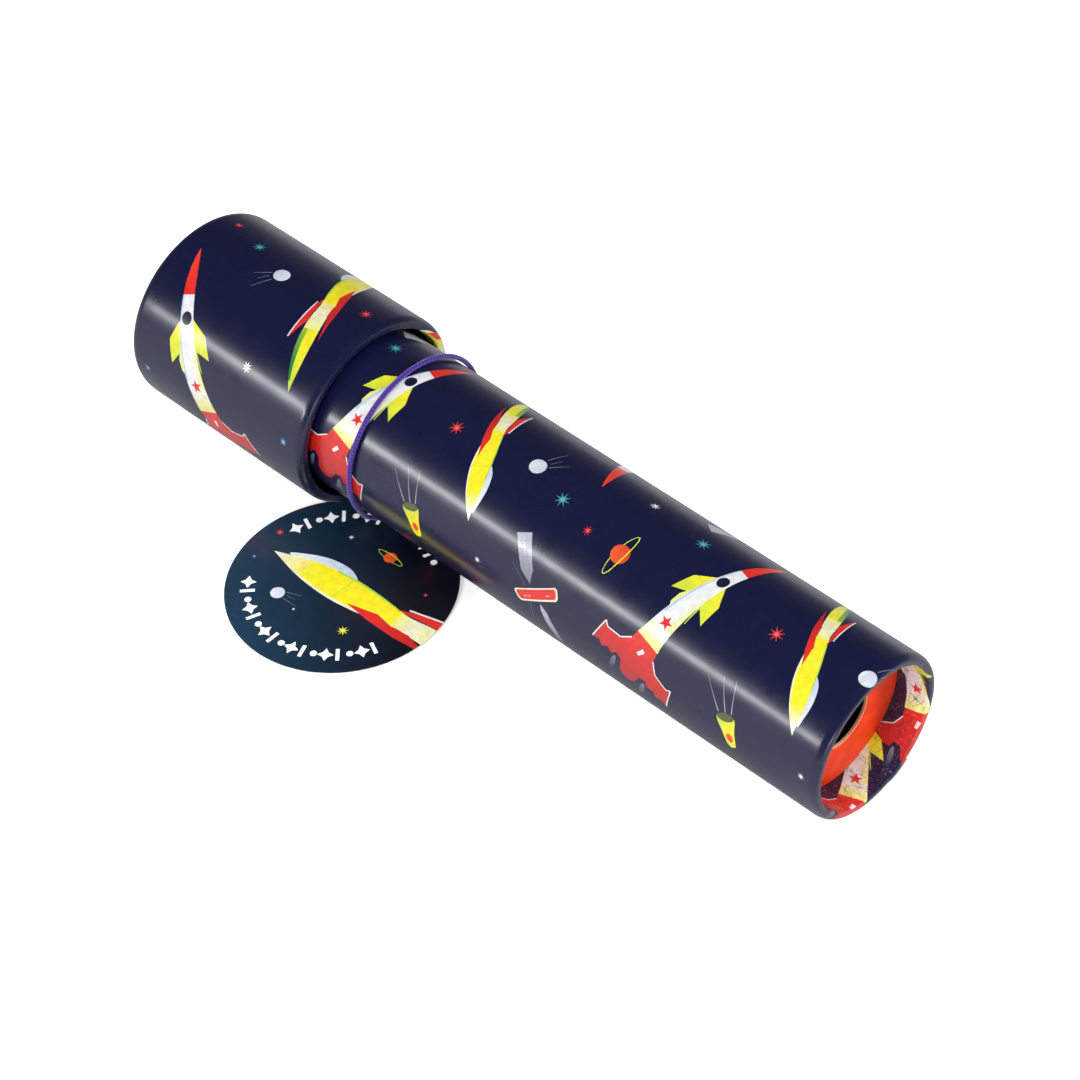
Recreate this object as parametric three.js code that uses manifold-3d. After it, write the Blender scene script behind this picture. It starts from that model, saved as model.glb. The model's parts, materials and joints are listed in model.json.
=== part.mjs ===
// A toy kaleidoscope: a card tube with three mirror strips, a larger head that turns on its front end and
// holds loose coloured pieces between two windows, and a round swing tag on an elastic cord.
// Units are millimetres and +Z is up. The kaleidoscope lies on a table at z = 0, on the rim of its head
// and the rim of its eyepiece end. Each piece of the tube is built along +X, where x is the distance
// from the head's outer end, and the whole tube is then tipped by the small angle at which it rests.
import * as THREE from "three";
import { mergeVertices } from "three/addons/utils/BufferGeometryUtils.js";
import Module from "manifold-3d";

const wasm = await Module();
wasm.setup();

// ---- Driving dimensions ----
const LENGTH = 190; // head's outer end to eyepiece rim
const HEAD_LENGTH = 53;
const HEAD_RADIUS = 22.25;
const HEAD_WALL = 2.5; // board and both layers of paper
const BODY_RADIUS = 18.5;
const BODY_WALL = 2.2;
const PAPER = 0.25;
const GLUE = 0.05; // gap between a paper wrap and its board tube
const RIM = { axial: 2.0, outer: 1.1, inner: 0.6 }; // rounded end of a wrapped tube, flat in between
const FIT = 0.1; // gap round a piece that is glued or pressed into a tube
const ROUND = 40; // facets round a tube
const SMALL_ROUND = 16; // facets round a loose piece

const BODY_FRONT = 15; // where the body tube ends, inside the head
const BODY_BORE = BODY_RADIUS - BODY_WALL; // inside the folded paper
const BODY_BOARD = { outer: BODY_RADIUS - PAPER - GLUE, inner: BODY_BORE + PAPER + GLUE };
const HEAD_BORE = HEAD_RADIUS - HEAD_WALL;
const HEAD_BOARD = { outer: HEAD_RADIUS - PAPER - GLUE, inner: HEAD_BORE + PAPER + GLUE };

const EYE_DEPTH = 8; // eyepiece disc below the rim
const EYE_DISC = 0.8;
const EYE_HOLE = 6.9;
const WINDOW = 1.0;
const EYE_RING = { width: 2.2, length: 3.8 };

const MIRROR = { apothem: 7.5, thickness: 1.5, corner_gap: 0.15 };
const MIRROR_FRONT = BODY_FRONT + 1.1;
const MIRROR_BACK = 175;
const CRADLE = { length: 5, front: 24, rear: 162, gap: 0.2 };
const BAND = { length: 8, front: 52, rear: 130, thickness: 0.3, gap: 0.1 };
const MASK = { start: BODY_FRONT + 0.2, thickness: 0.7 };

const END_RECESS = 0.9; // end retainer below the head's outer rim
const END_RETAINER = { width: 1.9, length: 1.6 };
const CHAMBER_LENGTH = 9.6;
const CHAMBER_WALL = 1.5;

const COLLAR = { start: 26.5, length: 8, outer: 19.35 };
const LINER = { width: 0.85, length: 10 };
const BEARING = { start: 36, length: 8, inner: BODY_RADIUS + 0.25 };
const WRAP_START = 35; // the printed paper on the body starts under the head
const BODY_FOLD = 14; // how far the paper runs down the bore from the rim
const HEAD_FOLD = 8;

const TAG = { radius: 25, thickness: 0.4, hole: 1.3, hole_to_edge: 2.7, y: -27.2, turn: 98.4 };
const CORD = { radius: 0.45, x: 64.5, gap: 0.1, table_gap: 0.1, hole_height: 1.5 };
// Turns are degrees round the tube from its top, towards the tag's side.
const CORD_TURNS = { leaves: 118, returns: -168, knot: -100, knot_half: 7 };
const KNOT_RADIUS = 1.0;

// ---- Small helpers ----
const group = new THREE.Group();
const v2 = (x, y) => new THREE.Vector2(x, y);
const deg = THREE.MathUtils.degToRad;

function finish(color, roughness, metalness = 0, opacity = 1) {
  return new THREE.MeshStandardMaterial({ color, roughness, metalness, opacity, transparent: opacity < 1 });
}

const LOOKS = {
  printed_paper: finish(0x1b1f45, 0.45),
  board: finish(0x9a8467, 0.9),
  orange_card: finish(0xe2431c, 0.6),
  black_card: finish(0x16161a, 0.8),
  clear_plastic: finish(0xe8eef2, 0.05, 0, 0.35),
  frosted_plastic: finish(0xf0f2f4, 0.6, 0, 0.7),
  mirror: finish(0xd6dade, 0.03, 1),
  tape: finish(0x33333a, 0.7),
  elastic_cord: finish(0x4a2391, 0.8),
  tag_card: finish(0x14243c, 0.5),
};

function add(parent, name, geometry, material) {
  const mesh = new THREE.Mesh(geometry, material);
  mesh.name = name;
  parent.add(mesh);
  return mesh;
}

// Turns a profile of (radius, distance along the tube) points about the tube's axis, +X.
function turned(points, segments = ROUND) {
  let area = 0;
  points.forEach((p, i) => {
    const q = points[(i + 1) % points.length];
    area += p.x * q.y - q.x * p.y;
  });
  const outward = area > 0 ? points : [...points].reverse();
  const onAxis = points[0].x === 0 && points.at(-1).x === 0;
  const profile = onAxis ? outward : [...outward, outward[0]];
  return new THREE.LatheGeometry(profile, segments).rotateZ(-Math.PI / 2);
}

function ring(start, length, outer, inner, segments = ROUND) {
  const end = start + length;
  return turned([v2(inner, start), v2(outer, start), v2(outer, end), v2(inner, end)], segments);
}

function disc(start, length, radius) {
  return turned([v2(0, start), v2(radius, start), v2(radius, start + length), v2(0, start + length)]);
}

// The rounded end of a wrapped tube, from its outside to its bore, set in from the paper's face by `inset`.
// `way` is +1 at the end with the larger x and -1 at the other.
function rim(end, way, outer, bore, inset) {
  const flatOuter = outer - RIM.outer;
  const flatInner = bore + RIM.inner;
  const quarter = (steps) => Array.from({ length: steps + 1 }, (_, i) => (i / steps) * (Math.PI / 2));
  const outside = quarter(3).map((a) => {
    const r = flatOuter + (RIM.outer - inset) * Math.cos(a);
    return v2(r, end - way * (RIM.axial - (RIM.axial - inset) * Math.sin(a)));
  });
  const inside = quarter(2).map((a) => {
    const r = flatInner - (RIM.inner - inset) * Math.sin(a);
    return v2(r, end - way * (RIM.inner - (RIM.inner - inset) * Math.cos(a)));
  });
  return [...outside, ...inside];
}

// A flat plate cut to `shape` in the plane across the tube, from x = start.
function plateAcross(shape, start, length, curveSegments = ROUND) {
  const plate = new THREE.ExtrudeGeometry(shape, { depth: length, bevelEnabled: false, curveSegments });
  return plate.rotateX(Math.PI / 2).rotateZ(Math.PI / 2).translate(start, 0, 0);
}

function roundShape(radius) {
  const shape = new THREE.Shape();
  for (let i = 0; i < ROUND; i++) {
    const a = (i / ROUND) * 2 * Math.PI;
    const x = radius * Math.cos(a);
    const y = radius * Math.sin(a);
    i ? shape.lineTo(x, y) : shape.moveTo(x, y);
  }
  shape.closePath();
  return shape;
}

// An equilateral triangle with its flat side at the bottom, `apothem` from its middle to each side.
function trianglePath(apothem) {
  const corners = [0, 1, 2].map((i) => deg(90 + 120 * i));
  const path = new THREE.Path();
  corners.forEach((a, i) => {
    const x = 2 * apothem * Math.cos(a);
    const y = 2 * apothem * Math.sin(a);
    i ? path.lineTo(x, y) : path.moveTo(x, y);
  });
  path.closePath();
  return path;
}

function solid(geometry) {
  const bare = geometry.index ? geometry.toNonIndexed() : geometry.clone();
  const only = new THREE.BufferGeometry().setAttribute("position", bare.getAttribute("position"));
  const merged = mergeVertices(only, 1e-4);
  const triVerts = new Uint32Array(merged.index.array);
  return new wasm.Manifold(
    new wasm.Mesh({ numProp: 3, vertProperties: merged.attributes.position.array, triVerts })
  );
}

function geometryOf(manifold) {
  const mesh = manifold.getMesh();
  const geometry = new THREE.BufferGeometry();
  geometry.setAttribute("position", new THREE.BufferAttribute(new Float32Array(mesh.vertProperties), 3));
  geometry.setIndex(new THREE.BufferAttribute(new Uint32Array(mesh.triVerts), 1));
  geometry.computeVertexNormals();
  return geometry;
}

// ---- Body: tube, eyepiece, mirrors ----
function bodyTube() {
  const inset = PAPER + GLUE;
  return turned([
    v2(BODY_BOARD.inner, BODY_FRONT),
    v2(BODY_BOARD.outer, BODY_FRONT),
    ...rim(LENGTH, 1, BODY_RADIUS, BODY_BORE, inset),
  ]);
}

// The paper runs along the outside, over the rim and back down the bore behind the eyepiece disc.
function bodyWrap() {
  const foldEnd = LENGTH - BODY_FOLD;
  return turned([
    v2(BODY_RADIUS - PAPER, WRAP_START),
    v2(BODY_RADIUS, WRAP_START),
    ...rim(LENGTH, 1, BODY_RADIUS, BODY_BORE, 0),
    v2(BODY_BORE, foldEnd),
    v2(BODY_BORE + PAPER, foldEnd),
    ...rim(LENGTH, 1, BODY_RADIUS, BODY_BORE, PAPER).reverse(),
  ]);
}

function mirrorStrip(turn) {
  const { apothem, thickness, corner_gap } = MIRROR;
  const width = 2 * (apothem * Math.tan(deg(60)) - corner_gap);
  const length = MIRROR_BACK - MIRROR_FRONT;
  const strip = new THREE.BoxGeometry(length, width, thickness);
  return strip
    .translate((MIRROR_FRONT + MIRROR_BACK) / 2, 0, -apothem - thickness / 2)
    .rotateX(deg(turn));
}

// Board disc that centres the three mirrors in the tube.
function cradle(start) {
  const shape = roundShape(BODY_BOARD.inner - FIT);
  shape.holes.push(mirrorOutline(CRADLE.gap));
  return plateAcross(shape, start, CRADLE.length);
}

// The outline of the three strips together, grown by `gap`: a triangle with its corners cut off.
function mirrorOutline(gap) {
  const outside = MIRROR.apothem + MIRROR.thickness + gap;
  const half = MIRROR.apothem * Math.tan(deg(60)) + gap;
  const path = new THREE.Path();
  [0, 1, 2].forEach((side) => {
    [-1, 1].forEach((end) => {
      const a = deg(-90 + 120 * side);
      const x = outside * Math.cos(a) - end * half * Math.sin(a);
      const y = outside * Math.sin(a) + end * half * Math.cos(a);
      side === 0 && end === -1 ? path.moveTo(x, y) : path.lineTo(x, y);
    });
  });
  path.closePath();
  return path;
}

function mirrorBand(start) {
  const shape = new THREE.Shape(mirrorOutline(BAND.gap + BAND.thickness).getPoints());
  shape.holes.push(mirrorOutline(BAND.gap));
  return plateAcross(shape, start, BAND.length);
}

function buildBody(tube) {
  add(tube, "body_tube", bodyTube(), LOOKS.board);
  add(tube, "body_wrap", bodyWrap(), LOOKS.printed_paper);

  const bore = BODY_BORE - FIT;
  const discBack = LENGTH - EYE_DEPTH - EYE_DISC;
  const windowBack = discBack - FIT - WINDOW;
  const ringBack = windowBack - FIT - EYE_RING.length;
  add(tube, "eyepiece_disc", ring(discBack, EYE_DISC, bore, EYE_HOLE), LOOKS.orange_card);
  add(tube, "eyepiece_window", disc(windowBack, WINDOW, bore), LOOKS.clear_plastic);
  add(tube, "eyepiece_ring", ring(ringBack, EYE_RING.length, bore, bore - EYE_RING.width), LOOKS.black_card);

  ["bottom", "left", "right"].forEach((side, i) => {
    add(tube, `mirror_${side}`, mirrorStrip(120 * i), LOOKS.mirror);
  });
  add(tube, "front_cradle", cradle(CRADLE.front), LOOKS.board);
  add(tube, "rear_cradle", cradle(CRADLE.rear), LOOKS.black_card);
  add(tube, "front_mirror_band", mirrorBand(BAND.front), LOOKS.tape);
  add(tube, "rear_mirror_band", mirrorBand(BAND.rear), LOOKS.tape);

  const mask = roundShape(BODY_BOARD.inner - FIT);
  mask.holes.push(trianglePath(MIRROR.apothem));
  add(tube, "front_mask", plateAcross(mask, MASK.start, MASK.thickness), LOOKS.black_card);
  const collarBore = BODY_BOARD.outer + FIT;
  add(tube, "retaining_collar", ring(COLLAR.start, COLLAR.length, COLLAR.outer, collarBore), LOOKS.board);
}

// ---- Head: turns on the body's front end and holds the chamber ----
function headTube() {
  const inset = PAPER + GLUE;
  return turned([
    ...rim(0, -1, HEAD_RADIUS, HEAD_BORE, inset).reverse(),
    ...rim(HEAD_LENGTH, 1, HEAD_RADIUS, HEAD_BORE, inset),
  ]);
}

function headWrap() {
  const foldEnd = HEAD_LENGTH - HEAD_FOLD;
  return turned([
    ...rim(0, -1, HEAD_RADIUS, HEAD_BORE, 0).reverse(),
    ...rim(HEAD_LENGTH, 1, HEAD_RADIUS, HEAD_BORE, 0),
    v2(HEAD_BORE, foldEnd),
    v2(HEAD_BORE + PAPER, foldEnd),
    ...rim(HEAD_LENGTH, 1, HEAD_RADIUS, HEAD_BORE, PAPER).reverse(),
    ...rim(0, -1, HEAD_RADIUS, HEAD_BORE, PAPER),
  ]);
}

function chamberStart() {
  return END_RECESS + END_RETAINER.length + FIT + WINDOW + FIT;
}

function buildHead(tube) {
  add(tube, "head_tube", headTube(), LOOKS.board);
  add(tube, "head_wrap", headWrap(), LOOKS.printed_paper);

  const bore = HEAD_BOARD.inner - FIT;
  const retainer = ring(END_RECESS, END_RETAINER.length, bore, bore - END_RETAINER.width);
  add(tube, "end_retainer", retainer, LOOKS.black_card);
  add(tube, "end_window", disc(chamberStart() - FIT - WINDOW, WINDOW, bore), LOOKS.frosted_plastic);
  const chamber = ring(chamberStart(), CHAMBER_LENGTH, bore, bore - CHAMBER_WALL);
  add(tube, "chamber_ring", chamber, LOOKS.frosted_plastic);
  const innerWindow = chamberStart() + CHAMBER_LENGTH + FIT;
  add(tube, "inner_window", disc(innerWindow, WINDOW, bore), LOOKS.clear_plastic);
  const liner = ring(innerWindow + WINDOW + FIT, LINER.length, bore, bore - LINER.width);
  add(tube, "head_liner", liner, LOOKS.board);
  add(tube, "head_bearing", ring(BEARING.start, BEARING.length, bore, BEARING.inner), LOOKS.black_card);
}

// ---- Loose pieces: three rows across the chamber, three pieces in each, lying along the bottom ----
// Every shape is made round its own middle with its thickness along X and its radial way along Z.
function flatShape(outline, thickness) {
  return plateAcross(new THREE.Shape(outline), -thickness / 2, thickness);
}

function starOutline(radius, points) {
  return Array.from({ length: 2 * points }, (_, i) => {
    const r = i % 2 ? radius * 0.5 : radius;
    const a = (i / points) * Math.PI + Math.PI / 2;
    return v2(r * Math.cos(a), r * Math.sin(a));
  });
}

// A regular outline with a flat side at the bottom.
function polygonOutline(radius, sides) {
  return Array.from({ length: sides }, (_, i) => {
    const a = ((i + 0.5) / sides) * 2 * Math.PI - Math.PI / 2;
    return v2(radius * Math.cos(a), radius * Math.sin(a));
  });
}

function crescentOutline(radius) {
  const horn = deg(50);
  const steps = 10;
  const outside = Array.from({ length: steps + 1 }, (_, i) => {
    const a = horn + (i / steps) * (2 * Math.PI - 2 * horn);
    return v2(radius * Math.cos(a), radius * Math.sin(a));
  });
  const chord = radius * Math.sin(horn);
  const inside = Array.from({ length: steps - 1 }, (_, i) => {
    const a = -Math.PI / 2 + ((i + 1) / steps) * Math.PI;
    return v2(radius * Math.cos(horn) - 0.9 * radius * Math.cos(a), chord * Math.sin(a));
  });
  return [...outside, ...inside];
}

const ringBead = () => new THREE.TorusGeometry(1.3, 0.6, 8, SMALL_ROUND).rotateY(Math.PI / 2);
const roundBead = () => new THREE.SphereGeometry(1.35, SMALL_ROUND, 10);
const gem = () => new THREE.IcosahedronGeometry(1.4, 0);
const tubeBead = () => ring(-2, 4, 0.95, 0.4, SMALL_ROUND).rotateZ(Math.PI / 2);
const cube = () => new THREE.BoxGeometry(2.2, 2.4, 2.4);

// Each piece is [name, shape, its reach towards the chamber wall, colour].
const LOOSE_ROWS = [
  [
    ["loose_star", () => flatShape(starOutline(2.1, 5), 1.2), 1.7, 0xe8c21a],
    ["loose_round_bead", roundBead, 1.35, 0xd8262c],
    ["loose_hexagon", () => flatShape(polygonOutline(1.9, 6), 1.6), 1.65, 0x1f9b6a],
  ],
  [
    ["loose_ring_bead", ringBead, 1.9, 0x2b6fd1],
    ["loose_gem", gem, 1.4, 0xd63a9a],
    ["loose_triangle", () => flatShape(polygonOutline(2.1, 3), 1.8), 1.05, 0xf07a1e],
  ],
  [
    ["loose_cube", cube, 1.2, 0x6f3fc0],
    ["loose_crescent", () => flatShape(crescentOutline(1.9), 1.4), 1.9, 0x2fb5c9],
    ["loose_tube_bead", tubeBead, 0.95, 0x8cc63f],
  ],
];
const ROW_PITCH = 3.15;
const PIECE_PITCH = 17; // degrees between neighbours in a row
const ROW_LEAN = [4, -3, 1]; // degrees by which each row's heap lies off the bottom

function buildLoosePieces(tube) {
  const wall = HEAD_BOARD.inner - FIT - CHAMBER_WALL;
  const middle = chamberStart() + CHAMBER_LENGTH / 2;
  LOOSE_ROWS.forEach((row, r) => {
    row.forEach(([name, shape, reach, color], i) => {
      const turn = new THREE.Group();
      turn.rotation.x = deg((i - 1) * PIECE_PITCH + ROW_LEAN[r]);
      tube.add(turn);
      const piece = add(turn, name, shape(), finish(color, 0.15));
      piece.position.set(middle + (r - 1) * ROW_PITCH, 0, -(wall - reach - 3 * FIT));
    });
  });
}

// ---- Where the tube rests ----
const headContact = HEAD_LENGTH - RIM.axial;
const bodyContact = LENGTH - RIM.axial;
const restTilt = Math.asin((HEAD_RADIUS - BODY_RADIUS) / (bodyContact - headContact));
const axisHeight = HEAD_RADIUS * Math.cos(restTilt) + headContact * Math.sin(restTilt);

const tube = new THREE.Group();
tube.rotation.y = restTilt;
tube.position.set(0, 0, axisHeight);
group.add(tube);
buildBody(tube);
buildHead(tube);
buildLoosePieces(tube);

// ---- Cord: one loop round the tube that dips to the tag's hole and passes under the tag's edge ----
function holePlace() {
  const reach = TAG.radius - TAG.hole_to_edge;
  return { x: CORD.x, y: TAG.y + reach * Math.sin(deg(TAG.turn)) };
}

// A round strand through (y, z) points in the plane across the tube at the cord's place.
function strand(points) {
  const path = new THREE.CatmullRomCurve3(
    points.map(([y, z]) => new THREE.Vector3(CORD.x, y, z)),
    false,
    "centripetal"
  );
  const section = new THREE.Shape();
  section.absarc(0, 0, CORD.radius, 0, 2 * Math.PI, false);
  const steps = 2 * points.length;
  return solid(new THREE.ExtrudeGeometry(section, { extrudePath: path, steps, curveSegments: 4 }));
}

// The two ends of the cord meet in the knot, on the side of the tube away from the tag.
function cordLoop() {
  const lay = BODY_RADIUS + CORD.radius + CORD.gap; // cord's middle line on the tube
  const onTube = (turn, out = 0) => [-(lay + out) * Math.sin(deg(turn)), (lay + out) * Math.cos(deg(turn))];
  const arc = (from, to, count) =>
    Array.from({ length: count + 1 }, (_, i) => onTube(from + ((to - from) * i) / count));
  const floor = -(axisHeight - CORD.x * Math.sin(restTilt)) / Math.cos(restTilt);
  const low = floor + CORD.radius + CORD.table_gap;
  const hole = { y: holePlace().y, z: floor + CORD.hole_height };

  // From the side of the tube the cord dips to the tag's hole, passes down through it, runs under the
  // tag's edge along the table and comes back up to the underside of the tube.
  const { leaves, returns, knot: knotTurn, knot_half } = CORD_TURNS;
  const knotCentre = onTube(knotTurn, KNOT_RADIUS - CORD.radius);
  const over = strand([
    knotCentre,
    ...arc(knotTurn + knot_half, leaves, 17),
    [hole.y - 6.2, hole.z + 4.4],
    [hole.y - 1.9, hole.z + 1.5],
    [hole.y, hole.z],
    [hole.y + 1.7, low + 0.12],
  ]);
  const under = strand([
    knotCentre,
    ...arc(knotTurn - knot_half, returns, 5),
    [hole.y + 5.7, low + 1.7],
    [hole.y + 4.2, low + 0.75],
    [hole.y + 2.8, low + 0.1],
    [hole.y + 1.2, low + 0.15],
  ]);
  const [y, z] = knotCentre;
  const knot = solid(new THREE.SphereGeometry(KNOT_RADIUS, 12, 8).translate(CORD.x, y, z));
  return geometryOf(over.add(under).add(knot));
}
add(tube, "cord_loop", cordLoop(), LOOKS.elastic_cord);

// ---- Swing tag: lies on the table, its hole raised by the cord that passes under its edge ----
function buildTag() {
  const { radius, thickness, hole, hole_to_edge } = TAG;
  const shape = roundShape(radius);
  const punched = new THREE.Path();
  punched.absarc(0, radius - hole_to_edge, hole, 0, 2 * Math.PI, true);
  shape.holes.push(punched);
  const plate = new THREE.ExtrudeGeometry(shape, { depth: thickness, bevelEnabled: false, curveSegments: 8 });
  plate.translate(0, -(radius - hole_to_edge), -thickness / 2);

  const place = new THREE.Vector3(holePlace().x, holePlace().y, 0);
  const onTable = new THREE.Group();
  const tableX = place.x * Math.cos(restTilt);
  onTable.position.set(tableX, place.y, CORD.hole_height);
  onTable.rotation.z = deg(TAG.turn - 90);
  const farEdge = 2 * radius - hole_to_edge;
  const tip = new THREE.Group();
  tip.rotation.x = Math.asin((CORD.hole_height - thickness / 2) / farEdge);
  onTable.add(tip);
  group.add(onTable);
  add(tip, "swing_tag", plate, LOOKS.tag_card);
}
buildTag();

// The frame's origin is on the table, under the middle of the bounding box.
const bounds = new THREE.Box3().setFromObject(group, true);
const middle = bounds.getCenter(new THREE.Vector3());
group.position.set(-middle.x, -middle.y, -bounds.min.z);

export default group;
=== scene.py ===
"""The looks of a printed-card toy kaleidoscope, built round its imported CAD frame.

The printed papers are real sheets. A print is laid out flat, in millimetres, as coloured outlines. The
sheet is cut into triangles along those outlines, then wrapped round its tube, rolled over the rims and
folded down the bores. On a sheet, l runs along the tube and equals the distance from the head's outer
end, and w runs round it from the top towards the tag's side.
"""

import json
import math
import random

import bmesh
import bpy
import numpy as np
from mathutils import Matrix, Vector
from mathutils.geometry import delaunay_2d_cdt


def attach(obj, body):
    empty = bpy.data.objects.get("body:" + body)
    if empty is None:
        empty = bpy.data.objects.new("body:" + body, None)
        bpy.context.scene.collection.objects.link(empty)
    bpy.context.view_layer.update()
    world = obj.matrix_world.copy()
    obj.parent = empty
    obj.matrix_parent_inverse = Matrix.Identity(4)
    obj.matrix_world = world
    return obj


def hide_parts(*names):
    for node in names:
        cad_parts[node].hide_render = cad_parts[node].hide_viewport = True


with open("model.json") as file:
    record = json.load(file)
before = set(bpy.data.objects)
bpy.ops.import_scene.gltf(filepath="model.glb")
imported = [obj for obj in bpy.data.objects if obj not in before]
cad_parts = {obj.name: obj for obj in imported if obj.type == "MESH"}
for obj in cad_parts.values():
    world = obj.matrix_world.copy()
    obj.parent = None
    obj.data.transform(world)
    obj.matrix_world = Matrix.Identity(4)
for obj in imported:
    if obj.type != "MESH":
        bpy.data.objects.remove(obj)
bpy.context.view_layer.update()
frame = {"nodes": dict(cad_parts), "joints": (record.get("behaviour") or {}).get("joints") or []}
MM = 0.001
TAU = 2 * math.pi
norm = np.linalg.norm


# ---- The tube's own frame, read from the CAD ----
def node_points(node):
    return np.array([v.co for v in frame["nodes"][node].data.vertices], float)


JOINTS = {j["name"]: j for j in frame["joints"]}
HINGE = JOINTS["head_turn"]
AXIS = np.array(HINGE["axis"], float) / norm(HINGE["axis"])
SIDE = np.array([0.0, 1.0, 0.0])
UP = np.cross(AXIS, SIDE)
PIVOT = np.array(HINGE["pos_m"], float)
ORIGIN = PIVOT + AXIS * ((node_points("head_wrap") - PIVOT) @ AXIS).min()


def span(node):
    """(start, end, inner radius, outer radius) of a turned CAD node, in mm along and from the axis."""
    rel = (node_points(node) - ORIGIN) / MM
    s = rel @ AXIS
    r = norm(rel - np.outer(s, AXIS), axis=1)
    return s.min(), s.max(), r.min(), r.max()


def on_tube(s, phi, r):
    """Points at s mm along the axis, phi radians round from the top and r mm out, in the row frame."""
    s, phi, r = (np.asarray(x, float)[..., None] for x in np.broadcast_arrays(s, phi, r))
    return ORIGIN + MM * (s * AXIS + r * (np.cos(phi) * UP - np.sin(phi) * SIDE))


HEAD_END, HEAD_BORE, HEAD_R = span("head_wrap")[1:]
BODY_START, BODY_END, BODY_BORE, BODY_R = span("body_wrap")
PAPER = 0.2
SEAM_LIFT = PAPER + 0.02  # how far the lapped edge of a paper rides up on its other edge
RIM_AXIAL, RIM_OUTER, RIM_INNER = 2.0, 1.1, 0.6  # the CAD's rolled rims
BODY_FOLD, HEAD_FOLD = 14.0, 8.0  # paper down the bore behind each open rim


# ---- Inks ----
def ink(red, green, blue):
    """A print colour given as 0 to 255 on screen, turned into the linear light that materials use."""
    return tuple(((c / 255 + 0.055) / 1.055) ** 2.4 if c > 10 else c / 3295 for c in (red, green, blue))


NAVY = ink(17, 20, 56)
RED = ink(218, 40, 32)
DEEP_RED = ink(176, 28, 28)
YELLOW = ink(236, 225, 34)
PALE_YELLOW = ink(228, 227, 134)
LIME = ink(176, 208, 60)
GREEN = ink(30, 128, 62)
WHITE = ink(225, 227, 230)
CREAM = ink(228, 225, 198)
PALE_BLUE = ink(184, 202, 222)
SILVER = ink(176, 178, 190)
GREY = ink(112, 116, 132)
BALL_LIGHT = ink(216, 219, 228)
BALL_SHADE = ink(192, 197, 216)
ORANGE = ink(232, 86, 36)
OLIVE = ink(86, 90, 46)
TEAL = ink(46, 150, 160)
BLUE = ink(96, 150, 214)
DARK = ink(24, 26, 50)
TAG_BLUE = ink(22, 50, 72)
TAG_WHITE = ink(250, 252, 255)
TAG_BLACK = ink(8, 10, 24)


# ---- Outlines, in mm: u runs forwards along a motif and v across it ----
def ellipse(u, v, a, b=None, points=24):
    turns = np.linspace(0, TAU, points, endpoint=False)
    return np.column_stack((u + a * np.cos(turns), v + (a if b is None else b) * np.sin(turns)))


def star(u, v, radius, spikes, waist, turn=0.0):
    turns = turn + np.arange(2 * spikes) * math.pi / spikes
    reach = np.where(np.arange(2 * spikes) % 2, radius * waist, radius)
    return np.column_stack((u + reach * np.cos(turns), v + reach * np.sin(turns)))


def bar(start, end, width, end_width=None):
    """A thin stroke from start to end, as a four-sided outline."""
    a, b = np.array(start, float), np.array(end, float)
    side = np.array([a[1] - b[1], b[0] - a[0]]) / norm(b - a) / 2
    last = width if end_width is None else end_width
    return np.array([a + side * width, a - side * width, b - side * last, b + side * last])


def smooth(points, per_span=5, closed=True):
    """A curve through the points, by Catmull and Rom's rule."""
    p = np.array(points, float)
    count = len(p)
    spans = count if closed else count - 1
    out = []
    for i in range(spans):
        pick = [(i + k) % count if closed else min(max(i + k, 0), count - 1) for k in (-1, 0, 1, 2)]
        a, b, c, d = p[pick]
        square, cube = 2 * a - 5 * b + 4 * c - d, 3 * b - a - 3 * c + d
        for t in np.arange(per_span) / per_span:
            out.append(0.5 * (2 * b + (c - a) * t + square * t**2 + cube * t**3))
    if not closed:
        out.append(p[-1])
    return np.array(out)


def hull_part(stations, start, end, low=-1.0, high=1.0):
    """The part of a spindle from u = start to end, between low and high shares of its half width."""
    curve = smooth(stations, 8, closed=False)
    u = np.linspace(start, end, max(3, int(abs(end - start) / 0.8) + 1))
    half = np.maximum(np.interp(u, curve[:, 0], curve[:, 1]), 0.02)
    top, bottom = np.column_stack((u, high * half)), np.column_stack((u, low * half))
    return np.vstack((top, bottom[::-1]))


def mirrored(points):
    return np.array(points, float) * (1, -1)


def both_sides(points):
    """A symmetric outline, given its v > 0 half from front to back."""
    half = np.array(points, float)
    return np.vstack((half, mirrored(half)[::-1]))


def fade(first, second, start, end):
    """A paint that fades between two inks along the line from start to end."""
    a, b = np.array(start, float), np.array(end, float)
    step = b - a

    def paint(u, v):
        t = min(max(((u - a[0]) * step[0] + (v - a[1]) * step[1]) / (step @ step), 0), 1)
        return tuple(x + (y - x) * t for x, y in zip(first, second))

    return paint


# ---- Motifs: each is a list of (outline, paint), painted in order ----
# A hull is a spindle, given as (u, half width) stations.
ROCKET = [(0, 3.1), (2.5, 2.75), (8, 2.4), (14, 2.0), (19.5, 1.6), (24.5, 1.3), (29, 0.95), (33, 0.42)]
ROCKET.append((35, 0))
SHIP = [(0, 0), (4, 0.95), (9, 1.5), (14, 1.45), (17.5, 1.2), (21, 1.7), (25, 2.15), (29, 2.2), (34, 1.5)]
SHIP.append((39, 0))


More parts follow.
